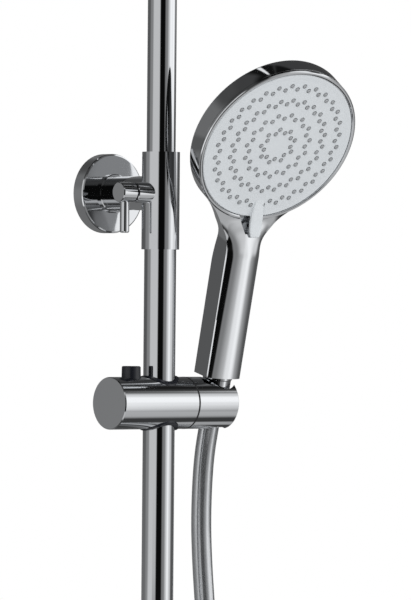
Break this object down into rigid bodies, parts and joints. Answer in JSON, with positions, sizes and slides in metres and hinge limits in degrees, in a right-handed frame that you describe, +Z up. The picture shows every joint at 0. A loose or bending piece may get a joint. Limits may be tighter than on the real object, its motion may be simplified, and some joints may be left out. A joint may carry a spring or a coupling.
{
  "type": "shower set",
  "caption": "Telescopic wall riser with a lock lever, a slider with tilting holder, a round hand shower with spray selector, and a coiled hose.",
  "frame": {"origin": "centre of the wall plate's back face, on the wall, at the height of the bracket's stem", "axes": "+X to the right as seen by someone who faces the wall, +Y into the wall, +Z up along the riser; units metres"},
  "size_m": [0.1593, 0.2104, 0.6809],
  "materials": {
    "steel_dark": "zinc plated steel",
    "chrome": "polished chrome",
    "screw_black": "black oxide",
    "black_plastic": "satin black",
    "rubber": "soft seal rubber",
    "white_plastic": "natural acetal",
    "grey_plastic": "satin grey",
    "brass": "machined",
    "spring_steel": "bright wire and pressed steel",
    "chromed_plastic": "chrome plated plastic",
    "dark_cap": "dark chrome plated plastic",
    "face_plastic": "light grey, glossy",
    "nozzle_grey": "soft grey silicone",
    "hose_silver": "metal-look plastic, satin"
  },
  "bodies": {
    "riser_base": {"wall_plate": "steel_dark", "flange_cover": "chrome", "riser_bracket": "chrome", "grub_screw": "screw_black", "lower_tube": "chrome", "tube_bush": "white_plastic", "inlet_adapter": "chrome", "inlet_washer": "rubber"},
    "inlet_union": {"inlet_nut": "chrome"},
    "riser_seals": {"seal_rings": "rubber"},
    "upper_riser": {"upper_tube": "chrome", "seal_plug": "white_plastic", "outlet_adapter": "chrome"},
    "lock_shoe": {"clamp_shoe": "brass"},
    "lock": {"lock_screw": "spring_steel", "lock_knob": "chrome", "lever_pin": "chrome"},
    "sliding_bush": {"slider_bush": "white_plastic"},
    "slider": {"slider_body": "chromed_plastic", "slider_end_cap": "dark_cap", "bush_rings": "black_plastic", "pad_spring": "spring_steel", "button_spring": "spring_steel", "friction_ring": "black_plastic", "axle_screw": "spring_steel", "axle_washer": "spring_steel"},
    "button": {"release_button": "black_plastic"},
    "brake": {"brake_pad": "grey_plastic"},
    "hand_holder": {"holder": "chromed_plastic"},
    "hose": {"hose_ferrule": "brass", "shower_hose": "hose_silver", "hose_coil": "hose_silver", "coil_ties": "black_plastic", "end_ferrule": "brass", "end_nut": "chrome", "end_washer": "rubber"},
    "hand_shower": {"hand_connector": "chromed_plastic", "connector_seal": "rubber", "cone_nut": "chromed_plastic", "rear_shell": "chromed_plastic", "front_cover": "chromed_plastic", "face_trim": "chromed_plastic", "face_pivot": "brass", "spray_chamber": "white_plastic", "water_tube": "grey_plastic"},
    "spray_face": {"face_plate": "face_plastic", "nozzle_mat": "nozzle_grey"}
  },
  "joints": [
    {"name": "inlet_nut_turn", "type": "hinge", "parent": "riser_base", "child": "inlet_union", "pos_m": [0, -0.061, -0.505], "axis": [0, 0, 1], "continuous": true},
    {"name": "riser_extend", "type": "slide", "parent": "riser_base", "child": "riser_seals", "axis": [0, 0, 1], "range_m": [-0.1, 0.2]},
    {"name": "riser_turn", "type": "hinge", "parent": "riser_seals", "child": "upper_riser", "pos_m": [0, -0.061, 0.1], "axis": [0, 0, 1], "range_deg": [-90, 90]},
    {"name": "shoe_feed", "type": "slide", "parent": "riser_base", "child": "lock_shoe", "axis": [-1, 0, 0], "range_m": [0, 0.00026]},
    {"name": "lock_lever", "type": "hinge", "parent": "riser_base", "child": "lock", "pos_m": [-0.0322, -0.061, 0], "axis": [-1, 0, 0], "range_deg": [0, 90]},
    {"name": "slider_slide", "type": "slide", "parent": "riser_base", "child": "sliding_bush", "axis": [0, 0, 1], "range_m": [-0.25, 0.08]},
    {"name": "slider_swivel", "type": "hinge", "parent": "sliding_bush", "child": "slider", "pos_m": [0, -0.061, -0.1444], "axis": [0, 0, 1], "range_deg": [-40, 22]},
    {"name": "button_press", "type": "slide", "parent": "slider", "child": "button", "axis": [0, 0, -1], "range_m": [0, 0.003], "stiffness_N_per_m": 400, "deforming": ["button_spring"]},
    {"name": "brake_release", "type": "slide", "parent": "slider", "child": "brake", "axis": [-1, 0, 0], "range_m": [0, 0.0005]},
    {"name": "holder_tilt", "type": "hinge", "parent": "slider", "child": "hand_holder", "pos_m": [0.03, -0.061, -0.1444], "axis": [1, 0, 0], "range_deg": [-3, 20]},
    {"name": "handset_lift", "type": "slide", "parent": "hand_holder", "child": "hose", "axis": [0, -0.2317, 0.9728], "range_m": [0, 0.03]},
    {"name": "handset_turn", "type": "hinge", "parent": "hose", "child": "hand_shower", "pos_m": [0.049, -0.061, -0.1444], "axis": [0, -0.2317, 0.9728], "range_deg": [-10, 20]},
    {"name": "spray_select", "type": "hinge", "parent": "hand_shower", "child": "spray_face", "pos_m": [0.0458, -0.12927, 0.03301], "axis": [-0.1179, -0.8295, -0.5458], "range_deg": [-9.2, 0]}
  ],
  "couplings": [
    {"joint": "shoe_feed", "follows": "lock_lever", "m_per_rad": 0.000159},
    {"joint": "brake_release", "follows": "button_press", "ratio": 0.1666}
  ]
}
